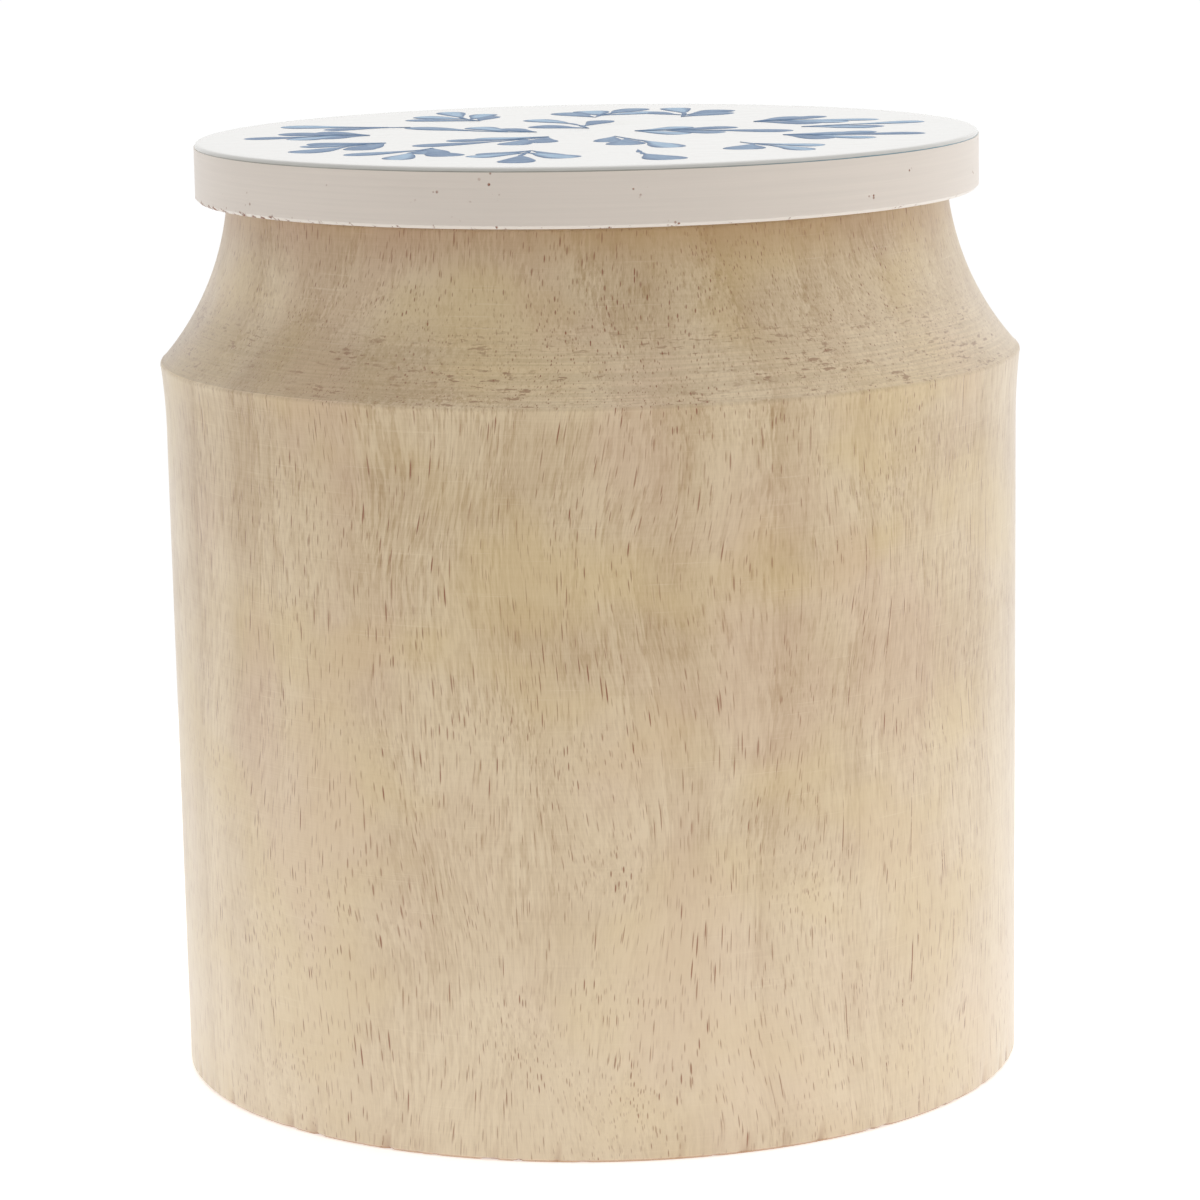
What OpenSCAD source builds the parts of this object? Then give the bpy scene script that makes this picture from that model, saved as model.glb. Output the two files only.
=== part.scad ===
// Turned wooden spice canister with a painted lift-off lid.
//
// Millimetres, +Z up. The origin is the centre of the foot, on the surface that
// the canister stands on. Every piece is turned about the Z axis, so each one is
// an outline of [radius, height] points spun round it.

/* [Canister side] */
// Radius of the side at the foot
foot_r = 54.6; // [52:0.1:56]
// Width of the small bevel round the foot
foot_bevel = 0.45; // [0.2:0.05:1.5]
// Radius of the side where it starts to flare out below the ridge
side_r = 54.95; // [52:0.05:56]
// Radius of the ridge, the widest line of the canister
ridge_r = 55.5; // [55:0.1:58]
// Height of the ridge above the foot
ridge_z = 92.4; // [84:0.1:96]
// Height over which the side flares out to the ridge
flare_h = 9; // [4:0.5:14]

/* [Neck and mouth] */
// Height of the ridge's rounded edge
ridge_land = 0.7; // [0.4:0.1:1.2]
// Radius of the hollow curve between the ridge and the mouth
cove_r = 36; // [30:0.5:60]
// Outside radius of the neck at the mouth
neck_r = 46.4; // [45:0.1:48]
// Height of the mouth above the foot
mouth_z = 112.9; // [110:0.1:116]
// Width of the eased edges round the mouth
mouth_ease = 0.6; // [0.3:0.1:1.2]

/* [Inside and underside] */
// Radius of the straight bore
bore_r = 38.5; // [37:0.1:40]
// Thickness of the wood under the bore
floor_t = 10; // [8:0.5:14]
// Radius of the corner between the bore and its floor
floor_fillet = 5; // [3:0.5:8]
// Radius of the shallow hollow under the foot
hollow_r = 46; // [40:0.5:48]
// Depth of the shallow hollow under the foot
hollow_h = 1.2; // [0.6:0.1:2]

/* [Lid] */
// Radius of the lid
lid_r = 50.3; // [49:0.1:52]
// Thickness of the lid's wooden board
board_t = 6.75; // [5:0.05:9]
// Thickness of the enamel poured on top of the board
enamel_t = 0.65; // [0.4:0.05:1.2]
// How far the enamel's edge stands inside the board's edge
enamel_inset = 0.12; // [0.05:0.01:0.4]
// Radius of the enamel's rounded top edge
enamel_round = 0.45; // [0.2:0.05:0.5]
// Width of the bevel round the lid's lower edge
lid_bevel = 0.4; // [0.2:0.05:1]
// Shadow gap between the mouth and the lid when it is closed
seat_gap = 0.3; // [0.1:0.05:0.6]

/* [Plug and seal] */
// Radius of the plug that goes into the bore
plug_r = 37; // [36:0.1:37.6]
// Height of the plug below the lid
plug_h = 12; // [10:0.5:16]
// Width of the eased edge at the plug's bottom
plug_ease = 1; // [0.4:0.1:1.6]
// Depth of the seal's groove round the plug
groove_depth = 1.8; // [1.2:0.1:2.4]
// Height of the seal's groove
groove_h = 5; // [4:0.1:5.6]
// Number of fins round the seal
fin_count = 3; // [2:1:4]
// Thickness of a fin at its tip
fin_tip_t = 0.45; // [0.3:0.05:0.6]
// Running clearance of the seal, to the bore and in its groove
seal_clear = 0.05; // [0.02:0.01:0.1]

/* [Hidden] */

$fn = 180;
FILLET_STEPS = 8;    // segments in a small rounded corner
COVE_STEPS = 28;     // segments in the hollow curve of the neck
FLARE_STEPS = 8;     // segments in the flare below the ridge
FLARE_R = 80;        // radius of the flare's hollow curve
HOLLOW_SLOPE = 3;    // width of the slope at the edge of the hollow under the foot
RIDGE_FALL = 0.25;   // how much smaller the radius is at the top of the ridge's edge
SEAL_WEB_T = 0.9;    // thickness of the seal's ring, inside its fins
FIN_ROOT_SHARE = 0.7; // share of a fin's pitch that its root takes
FIN_TOP_GAP = 0.15;  // gap between a fin's tip and the top of its pitch

floor_z = floor_t;
ridge_low_z = ridge_z - ridge_land / 2;
ridge_high_z = ridge_z + ridge_land / 2;
ridge_shoulder_r = ridge_r - RIDGE_FALL;
lid_z = mouth_z + seat_gap;
board_top_z = lid_z + board_t;
enamel_r = lid_r - enamel_inset;
enamel_top_z = board_top_z + enamel_t;
plug_z = lid_z - plug_h;
groove_r = plug_r - groove_depth;
groove_low_z = lid_z - (plug_h + groove_h) / 2;
groove_high_z = groove_low_z + groove_h;
seal_low_z = groove_low_z + seal_clear;
seal_high_z = groove_high_z - seal_clear;
seal_in_r = groove_r + seal_clear;
seal_web_r = seal_in_r + SEAL_WEB_T;
fin_r = bore_r - seal_clear;
fin_pitch = (seal_high_z - seal_low_z) / fin_count;
fin_root_t = fin_pitch * FIN_ROOT_SHARE;

// Points on the arc of radius r from a to b. The centre lies to the right of the
// way from a to b, or to the left where r is negative. With first at 1, point a
// itself is left out, because the outline is there already.
function arc(a, b, r, steps, first = 0) =
    let (chord = b - a,
         half = norm(chord) / 2,
         side = [chord.y, -chord.x] / (2 * half),
         centre = (a + b) / 2 + sign(r) * sqrt(r * r - half * half) * side,
         from = a - centre,
         turn = atan2(from.x * (b - centre).y - from.y * (b - centre).x,
                      from * (b - centre)))
    [for (i = [first:steps])
        let (t = turn * i / steps)
        centre + [from.x * cos(t) - from.y * sin(t), from.x * sin(t) + from.y * cos(t)]];

// One fin of the seal: its root, its level top and its tip, from low to high
function fin(low_z) =
    [[seal_web_r, low_z + (fin_pitch - fin_root_t) / 2],
     [fin_r, low_z + fin_pitch - fin_tip_t - FIN_TOP_GAP],
     [fin_r, low_z + fin_pitch - FIN_TOP_GAP],
     [seal_web_r, low_z + (fin_pitch + fin_root_t) / 2]];

// Outlines, each from the axis outwards and back to it

canister_outline = concat(
    [[0, hollow_h], [hollow_r - HOLLOW_SLOPE, hollow_h], [hollow_r, 0]],
    [[foot_r - foot_bevel, 0], [foot_r, foot_bevel]],
    arc([side_r, ridge_z - flare_h], [ridge_r, ridge_low_z], FLARE_R, FLARE_STEPS),
    arc([ridge_shoulder_r, ridge_high_z], [neck_r, mouth_z - mouth_ease], cove_r, COVE_STEPS),
    arc([neck_r, mouth_z - mouth_ease], [neck_r - mouth_ease, mouth_z],
        -mouth_ease, FILLET_STEPS, first = 1),
    arc([bore_r + mouth_ease, mouth_z], [bore_r, mouth_z - mouth_ease],
        -mouth_ease, FILLET_STEPS),
    arc([bore_r, floor_z + floor_fillet], [bore_r - floor_fillet, floor_z],
        floor_fillet, FILLET_STEPS),
    [[0, floor_z]]);

board_outline = [
    [0, lid_z], [lid_r - lid_bevel, lid_z], [lid_r, lid_z + lid_bevel],
    [lid_r, board_top_z], [0, board_top_z]];

enamel_outline = concat(
    [[0, board_top_z], [enamel_r, board_top_z]],
    arc([enamel_r, enamel_top_z - enamel_round], [enamel_r - enamel_round, enamel_top_z],
        -enamel_round, FILLET_STEPS),
    [[0, enamel_top_z]]);

plug_outline = [
    [0, plug_z], [plug_r - plug_ease, plug_z], [plug_r, plug_z + plug_ease],
    [plug_r, groove_low_z], [groove_r, groove_low_z],
    [groove_r, groove_high_z], [plug_r, groove_high_z],
    [plug_r, lid_z], [0, lid_z]];

seal_outline = concat(
    [[seal_in_r, seal_low_z], [seal_web_r, seal_low_z]],
    [for (i = [0:fin_count - 1]) each fin(seal_low_z + i * fin_pitch)],
    [[seal_web_r, seal_high_z], [seal_in_r, seal_high_z]]);

// Turned from one block of wood: straight bore, hollow neck, flat foot ring
module canister_body() {
    color("burlywood") rotate_extrude() polygon(canister_outline);
}

// Turned disc, painted off-white
module lid_board() {
    color("seashell") rotate_extrude() polygon(board_outline);
}

// Glossy enamel poured on the board, with a rounded edge
module lid_enamel() {
    color("white") rotate_extrude() polygon(enamel_outline);
}

// Bare wooden plug glued under the board, grooved for the seal
module lid_plug() {
    color("tan") rotate_extrude() polygon(plug_outline);
}

// Silicone ring whose fins press on the bore
module lid_seal() {
    color("gainsboro") rotate_extrude() polygon(seal_outline);
}

canister_body();
lid_board();
lid_enamel();
lid_plug();
lid_seal();
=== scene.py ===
"""Turned wooden spice canister: the looks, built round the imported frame.

Every piece is turned about the Z axis, so the canister, the lid's board, its
enamel, the plug and the seal are all made by one Geometry Nodes lathe, which
spins an outline. A second tree paints the lid's leaves.
"""

import math
import random

import bpy
from bpy.props import FloatProperty, FloatVectorProperty, IntProperty, PointerProperty
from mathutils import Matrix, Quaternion, Vector


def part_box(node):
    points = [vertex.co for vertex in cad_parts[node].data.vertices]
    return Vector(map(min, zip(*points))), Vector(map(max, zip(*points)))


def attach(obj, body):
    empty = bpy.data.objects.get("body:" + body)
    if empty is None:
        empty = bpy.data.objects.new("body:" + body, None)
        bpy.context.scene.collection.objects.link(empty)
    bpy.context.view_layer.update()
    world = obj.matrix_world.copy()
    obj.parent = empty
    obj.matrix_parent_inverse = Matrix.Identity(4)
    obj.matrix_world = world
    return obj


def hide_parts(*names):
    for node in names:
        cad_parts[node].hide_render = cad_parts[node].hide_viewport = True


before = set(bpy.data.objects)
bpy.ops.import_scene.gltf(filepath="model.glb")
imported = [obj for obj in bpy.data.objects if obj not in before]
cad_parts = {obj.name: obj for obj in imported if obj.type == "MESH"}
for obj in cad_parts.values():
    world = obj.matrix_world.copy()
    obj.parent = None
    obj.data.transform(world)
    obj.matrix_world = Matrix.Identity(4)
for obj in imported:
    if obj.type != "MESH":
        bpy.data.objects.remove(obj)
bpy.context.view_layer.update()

bl_info = {
    "name": "Turned Spice Canister",
    "version": (1, 0, 0),
    "blender": (4, 5, 0),
    "location": "3D View > Sidebar > Canister",
    "description": "Makes a turned wooden canister with a leaf-painted lid round its packed frame",
    "category": "Add Mesh",
}

MM = 0.001
BODY_LOW, BODY_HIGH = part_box("canister_body")
BOARD_LOW, BOARD_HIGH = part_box("lid_board")
ENAMEL_LOW, ENAMEL_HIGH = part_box("lid_enamel")
PLUG_LOW, PLUG_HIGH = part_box("lid_plug")
SEAL_LOW, SEAL_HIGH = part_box("lid_seal")


def half_width(low, high):
    """Radius of a turned piece that stays inside its packed box."""
    return min(high.x, high.y, -low.x, -low.y)


RIDGE_R = half_width(BODY_LOW, BODY_HIGH)
LID_R = half_width(BOARD_LOW, BOARD_HIGH)
ENAMEL_R = half_width(ENAMEL_LOW, ENAMEL_HIGH)
PLUG_R = half_width(PLUG_LOW, PLUG_HIGH)
SEAL_R = half_width(SEAL_LOW, SEAL_HIGH)
MOUTH_Z = BODY_HIGH.z

# Millimetres up to the ridge, the widest line of the canister.
RIDGE_Z = 92.4

# Where the tree's pith lies, in millimetres from the canister's axis, and how far
# the grain sways off it.
PITH = (-44.0, -114.0, 0.0)
GRAIN_SWAY = (11.0, 11.0, 0.0)

# Populations of pores: distance apart and length of a cell in millimetres, half
# width of a dash as a share of the distance, and how strong the faintest is. The
# fine ones, which are everywhere, are this much as strong.
PORES = {
    "flat_cut": (0.46, 8.0, 0.24, 0.30),
    "beaded": (0.55, 38.0, 0.20, 0.55),
    "fine": (0.34, 4.0, 0.26, 0.10),
}
FINE_STRENGTH = 0.65

# Where the neck flares out and the tool cut across the grain, in millimetres
# below the mouth.
FLARE_FROM, FLARE_TO = 9.0, 16.0

# Rings of sprigs on the lid: count, radius in mm, length of stem in mm, pairs of
# leaves, and the bearing of the first in degrees.
SPRIG_RINGS = (
    (5, 7.5, 8.0, 2, 158.0),
    (13, 27.0, 6.0, 2, 8.0),
)

# How uneven the brushwork is: angles in degrees round the lid and in radians at a
# sprig, the ring's radius in mm, and sizes as shares of a whole leaf's.
BEARING_JITTER, RADIUS_JITTER, HEADING_JITTER = 4, 1.0, 0.4
STEM_BEND = 0.5
LEAF_LEAN, LEAN_JITTER = 0.62, 0.15
LEAF_SKIPPED = 0.28
END_LEAF, SIDE_LEAF = 1.05, 0.86
LEAF_LENGTHS, LEAF_WIDTHS = (0.85, 1.1), (0.75, 1.1)
WASHES = (0.1, 0.3, 0.9)

# A stem's stroke: millimetres that a whole one covers, how far it runs on into
# the next, and its width as a share of a leaf's.
STEM_REACH, STEM_OVERLAP, STEM_WIDTH = 9.0, 1.12, 0.16

# What each stroke is given: its turn, length, width, and how thin its paint is.
STROKE_FACTS = ("bearing", "long", "broad", "thin")

# Glow of the white tent, how it rises to the right, to the back and upwards, and
# the soft lights in it: azimuth in degrees from the camera, height, distance,
# width and length in metres, and watts. They aim at the canister's middle.
BACKDROP_GLOW = 1.02
TENT_GLOW = 0.80
TENT_SLOPE = (0.15, 0.32, 0.0)
SOFT_LIGHTS = {
    "right_softbox": (60.0, 0.35, 1.0, 0.8, 0.8, 0.4),
    "top_softbox": (180.0, 1.1, 0.15, 0.9, 0.9, 2.4),
    "left_card": (-75.0, 0.07, 0.7, 0.5, 0.12, 0.2),
}
LIT_MIDDLE = (0.0, 0.0, 0.06)
FLOOR_R = 0.24
SENSOR_MM = 36.0

# Room left under the leaves' tops and outside the ridge and the seal's fins, so
# that every piece stays in its packed box.
LEAF_ROOM = 0.01 * MM
RIDGE_ROOM = 0.06 * MM
FIN_ROOM = 0.2 * MM


# ---------------------------------------------------------------- settings


def length(name, text, millimetres):
    """A length property, given in millimetres."""
    return FloatProperty(
        name=name, description=text, default=millimetres * MM, min=0.0,
        subtype="DISTANCE", unit="LENGTH", precision=5,
    )


def hex_colour(code):
    """An sRGB hex colour as linear red, green, blue and full alpha."""
    shares = [int(code[i : i + 2], 16) / 255 for i in (0, 2, 4)]
    linear = [s / 12.92 if s <= 0.04045 else ((s + 0.055) / 1.055) ** 2.4 for s in shares]
    return (*linear, 1.0)


def colour(name, text, code):
    """A colour property, given as an sRGB hex value."""
    return FloatVectorProperty(
        name=name, description=text, default=hex_colour(code), size=4, min=0.0, max=1.0,
        subtype="COLOR",
    )


class CanisterSettings(bpy.types.PropertyGroup):
    foot_r: length("Foot radius", "Radius of the side at the foot", 54.6)
    foot_bevel: length("Foot bevel", "Width of the bevel round the foot", 0.45)
    side_r: length("Side radius", "Radius of the side below its flare", 54.95)
    ridge_z: length("Ridge height", "Height of the ridge, the widest line", RIDGE_Z)
    flare_h: length("Flare height", "Height over which the side flares out to the ridge", 9.0)
    neck_r: length("Neck radius", "Outside radius of the neck at the mouth", 46.4)
    bore_r: length("Bore radius", "Radius of the straight bore", 38.5)
    floor_t: length("Floor thickness", "Thickness of the wood under the bore", 10.0)
    hollow_r: length("Hollow radius", "Radius of the shallow hollow under the foot", 46.0)
    hollow_h: length("Hollow depth", "Depth of the shallow hollow under the foot", 1.2)
    segments: IntProperty(name="Segments", description="Flats round the canister", default=480, min=32)
    wood_light: colour("Light wood", "Early wood, between the bands", "e1ccaa")
    wood_dark: colour("Dark wood", "Late wood, in the bands", "b5966d")
    wood_pore: colour("Pores", "Open pores and their dust", "8a4414")


class LidSettings(bpy.types.PropertyGroup):
    bevel: length("Lower bevel", "Width of the bevel round the board's lower edge", 0.4)
    enamel_round: length("Enamel edge", "Radius of the enamel's rounded top edge", 0.45)
    relief: length("Leaf relief", "How far the painted leaves stand above the enamel", 0.07)
    segments: IntProperty(name="Segments", description="Flats round the lid", default=720, min=32)
    paint: colour("Paint", "Satin paint on the board's side", "e6dbd0")
    enamel: colour("Enamel", "Glossy ground on top of the lid", "cdcbc6")
    leaf_dark: colour("Leaf stroke", "Full brush of blue", "456a93")
    leaf_pale: colour("Leaf wash", "Thin wash of blue", "92b1cb")
    leaf_l: length("Leaf length", "Length of an average leaf stroke", 11.3)
    leaf_w: length("Leaf width", "Width of an average leaf stroke", 7.4)
    seed: IntProperty(name="Seed", description="Seed of the brushwork's unevenness", default=7)


class SealSettings(bpy.types.PropertyGroup):
    groove_depth: length("Groove depth", "Depth of the seal's groove round the plug", 1.8)
    plug_ease: length("Plug edge", "Width of the eased edge at the plug's bottom", 1.0)
    web: length("Ring thickness", "Thickness of the seal's ring inside its fins", 0.9)
    fin_tip: length("Fin tip", "Thickness of a fin at its tip", 0.45)
    fins: IntProperty(name="Fins", description="Fins round the seal", default=3, min=1, max=6)
    silicone: colour("Silicone", "Milky translucent silicone", "dfe2df")


class StageSettings(bpy.types.PropertyGroup):
    distance: FloatProperty(
        name="Camera distance", description="From the aim point to the camera",
        default=0.597, subtype="DISTANCE", unit="LENGTH",
    )
    elevation: FloatProperty(
        name="Camera elevation", description="Camera's angle above the horizon",
        default=math.radians(10.37), subtype="ANGLE", unit="ROTATION",
    )
    roll: FloatProperty(
        name="Camera roll", description="Turn of the camera about its own line of sight",
        default=math.radians(-1.05), subtype="ANGLE", unit="ROTATION",
    )
    lens: FloatProperty(
        name="Focal length", description="On a sensor 36 mm wide", default=136.9, min=10.0,
    )
    aim_x: FloatProperty(
        name="Aim across", description="How far right of the axis the camera aims",
        default=0.0007, subtype="DISTANCE", unit="LENGTH",
    )
    aim_z: FloatProperty(
        name="Aim height", description="Height that the camera aims at",
        default=0.05953, subtype="DISTANCE", unit="LENGTH",
    )
    floor: colour("Floor", "Pale floor and backdrop", "f4f3f1")


# ----------------------------------------------------------- node helpers


def add(tree, kind, inputs=None, **settings):
    """Adds a node. Settings are its properties. Inputs go by a socket's name or
    number, and are values, other nodes' outputs, or nodes whose first output is
    meant."""
    node = tree.nodes.new(kind)
    for name, value in settings.items():
        setattr(node, name, value)
    for key, value in (inputs or {}).items():
        if isinstance(value, bpy.types.Node):
            value = value.outputs[0]
        if isinstance(value, bpy.types.NodeSocket):
            tree.links.new(value, node.inputs[key])
        else:
            node.inputs[key].default_value = value
    return node


def maths(tree, operation, *values, **settings):
    """Adds a Math node. Its values go to its inputs in order."""
    return add(tree, "ShaderNodeMath", dict(enumerate(values)), operation=operation, **settings)


def vectors(tree, operation, *values):
    """Adds a Vector Math node. Its values go to its inputs in order."""
    return add(tree, "ShaderNodeVectorMath", dict(enumerate(values)), operation=operation)


def smoothly(tree, value, low, high, top=1.0):
    """Adds a node that eases from 0, where the value is low, to top at high."""
    return add(tree, "ShaderNodeMapRange", {
        "Value": value, "From Min": low, "From Max": high, "To Max": top,
    }, interpolation_type="SMOOTHSTEP")


def mixed(tree, share, under, over):
    """Adds a node that mixes two colours, and returns its colour."""
    return add(tree, "ShaderNodeMix", {0: share, 6: under, 7: over}, data_type="RGBA").outputs[2]


# -------------------------------------------------------- geometry: lathe


def new_tree(name, inputs):
    """A Geometry Nodes tree with named inputs and one geometry output. Returns
    the tree and its input node."""
    tree = bpy.data.node_groups.new(name, "GeometryNodeTree")
    for label, kind in inputs.items():
        tree.interface.new_socket(name=label, in_out="INPUT", socket_type="NodeSocket" + kind)
    tree.interface.new_socket(name="Geometry", in_out="OUTPUT", socket_type="NodeSocketGeometry")
    return tree, tree.nodes.new("NodeGroupInput")


def end_tree(tree, mesh, material):
    """Closes a tree the way the export needs: real geometry with its material."""
    real = add(tree, "GeometryNodeRealizeInstances", {"Geometry": mesh})
    painted = add(tree, "GeometryNodeSetMaterial", {"Geometry": real, "Material": material})
    add(tree, "NodeGroupOutput", {"Geometry": painted})


def lathe_tree():
    """Spins an outline, a chain of points in the XZ plane, round the Z axis.
    Wobble is the small unevenness of hand turning, and chips eat into the edge
    at one height; how deep they go is kept as the attribute chipped."""
    tree, given = new_tree("Lathe", {
        "Outline": "Geometry", "Segments": "Int", "Wobble": "Float", "Wobble Size": "Float",
        "Chip Height": "Float", "Chip Band": "Float", "Chip Depth": "Float", "Chip Size": "Float",
        "Chip Rarity": "Float", "Sharp Angle": "Float", "Seed": "Float", "Material": "Material",
    })
    take = given.outputs

    points = add(tree, "GeometryNodeAttributeDomainSize", {"Geometry": take["Outline"]}, component="MESH")
    columns = maths(tree, "ADD", take["Segments"], 1.0)
    grid = add(tree, "GeometryNodeMeshGrid", {
        "Vertices X": columns, "Vertices Y": points.outputs["Point Count"],
    })
    index = add(tree, "GeometryNodeInputIndex")
    column = maths(tree, "DIVIDE", index, points.outputs["Point Count"])
    column = maths(tree, "FLOOR", column)
    row = maths(tree, "MODULO", index, points.outputs["Point Count"])
    place = add(tree, "GeometryNodeInputPosition")
    sampled = add(tree, "GeometryNodeSampleIndex", {
        "Geometry": take["Outline"], "Value": place, "Index": row,
    }, data_type="FLOAT_VECTOR", domain="POINT")
    outline = add(tree, "ShaderNodeSeparateXYZ", {0: sampled})
    radius, height = outline.outputs["X"], outline.outputs["Z"]

    turn = maths(tree, "DIVIDE", column, take["Segments"])
    turn = maths(tree, "MULTIPLY", turn, math.tau)
    cosine = maths(tree, "COSINE", turn)
    sine = maths(tree, "SINE", turn)

    def spun(r):
        """The point at radius r in this column and row."""
        x = maths(tree, "MULTIPLY", r, cosine)
        y = maths(tree, "MULTIPLY", r, sine)
        return add(tree, "ShaderNodeCombineXYZ", {0: x, 1: y, 2: height})

    def noise(size, offset):
        """Noise whose patches are about size across, from 0 to 1."""
        scale = maths(tree, "DIVIDE", 1.0, size)
        w = maths(tree, "ADD", take["Seed"], offset)
        return add(tree, "ShaderNodeTexNoise", {
            "Vector": spun(radius), "W": w, "Scale": scale, "Detail": 2.0,
        }, noise_dimensions="4D")

    # A wobble only ever cuts into the outline, so the piece stays in its box.
    wobble = maths(tree, "MULTIPLY", noise(take["Wobble Size"], 0.0), take["Wobble"])
    away = maths(tree, "SUBTRACT", height, take["Chip Height"])
    away = maths(tree, "ABSOLUTE", away)
    near = smoothly(tree, away, take["Chip Band"], 0.0)
    deep = maths(tree, "ADD", take["Chip Rarity"], 0.12)
    chip = smoothly(tree, noise(take["Chip Size"], 5.0), take["Chip Rarity"], deep)
    chip = maths(tree, "MULTIPLY", chip, near)
    cut = maths(tree, "MULTIPLY_ADD", chip, take["Chip Depth"], wobble)
    rim = maths(tree, "SUBTRACT", radius, cut)
    rim = maths(tree, "MAXIMUM", rim, 0.0)

    spread = add(tree, "GeometryNodeSetPosition", {
        "Geometry": grid.outputs["Mesh"], "Position": spun(rim),
    })
    kept = add(tree, "GeometryNodeStoreNamedAttribute", {
        "Geometry": spread, "Name": "chipped", "Value": chip,
    }, data_type="FLOAT", domain="POINT")
    closed = add(tree, "GeometryNodeMergeByDistance", {"Geometry": kept, "Distance": 0.002 * MM})
    smooth = add(tree, "GeometryNodeSetShadeSmooth", {
        "Geometry": closed, "Shade Smooth": True,
    }, domain="FACE")
    bend = add(tree, "GeometryNodeInputMeshEdgeAngle").outputs["Unsigned Angle"]
    sharp = add(tree, "FunctionNodeCompare", {
        0: bend, 1: take["Sharp Angle"],
    }, data_type="FLOAT", operation="GREATER_THAN")
    creased = add(tree, "GeometryNodeSetShadeSmooth", {
        "Geometry": smooth, "Selection": sharp, "Shade Smooth": False,
    }, domain="EDGE")
    end_tree(tree, creased, take["Material"])
    return tree


def made_mesh(name, seed_mesh, tree, inputs):
    """A new object called name whose plain mesh is what the tree makes."""
    piece = bpy.data.objects.new(name, seed_mesh)
    bpy.context.scene.collection.objects.link(piece)
    modifier = piece.modifiers.new(tree.name, "NODES")
    modifier.node_group = tree
    sockets = {s.name: s.identifier for s in tree.interface.items_tree if s.in_out == "INPUT"}
    for label, value in inputs.items():
        modifier[sockets[label]] = value
    graph = bpy.context.evaluated_depsgraph_get()
    mesh = bpy.data.meshes.new_from_object(piece.evaluated_get(graph), depsgraph=graph)
    piece.modifiers.clear()
    piece.data = mesh
    mesh.name = name
    bpy.data.meshes.remove(seed_mesh)
    return piece


def turned(name, outline, material, segments, **inputs):
    """A piece turned to an outline of (radius, height) points."""
    chain = bpy.data.meshes.new(name + "_outline")
    edges = [(i, i + 1) for i in range(len(outline) - 1)]
    chain.from_pydata([(r, 0.0, z) for r, z in outline], edges, [])
    given = {
        "Segments": segments, "Wobble": 0.0, "Wobble Size": 30 * MM, "Chip Height": 0.0,
        "Chip Band": 0.1 * MM, "Chip Depth": 0.0, "Chip Size": 1 * MM, "Chip Rarity": 2.0,
        "Sharp Angle": math.radians(28), "Seed": 1.0, "Material": material,
    }
    for label, value in inputs.items():
        given[label.replace("_", " ").title()] = value
    tree = bpy.data.node_groups.get("Lathe") or lathe_tree()
    return made_mesh(name, chain, tree, given)


def arc(a, b, radius, steps):
    """Points after a, up to b, on an arc whose centre is to the right of the way
    from a to b, or to the left where radius is negative."""
    a, b = Vector(a), Vector(b)
    half = (b - a) / 2
    side = Vector((half.y, -half.x)).normalized()
    reach = math.sqrt(max(radius**2 - half.length_squared, 0.0))
    centre = (a + b) / 2 + math.copysign(reach, radius) * side
    start = a - centre
    turn = start.angle_signed(b - centre)
    return [
        tuple(centre + Vector((
            start.x * math.cos(t) + start.y * math.sin(t),
            start.y * math.cos(t) - start.x * math.sin(t),
        )))
        for t in (turn * i / steps for i in range(1, steps + 1))
    ]


def filled(outline, step):
    """The outline with more points on each stretch that is longer than step."""
    made = [outline[0]]
    for a, b in zip(outline, outline[1:]):
        parts = max(1, math.ceil(math.dist(a, b) / step))
        made += [tuple(Vector(a).lerp(Vector(b), i / parts)) for i in range(1, parts + 1)]
    return made


# ---------------------------------------------------------------- materials


def new_material(name):
    """An empty material. Returns it, its tree and its place in millimetres."""
    material = bpy.data.materials.new(name)
    material.use_nodes = True
    tree = material.node_tree
    tree.nodes.clear()
    place = add(tree, "ShaderNodeTexCoord").outputs["Object"]
    scaled = vectors(tree, "MULTIPLY", place, (1 / MM,) * 3)
    return material, tree, scaled


def shade(tree, inputs):
    """Ends a material with one Principled shader."""
    shader = add(tree, "ShaderNodeBsdfPrincipled", inputs)
    add(tree, "ShaderNodeOutputMaterial", {"Surface": shader})


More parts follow.
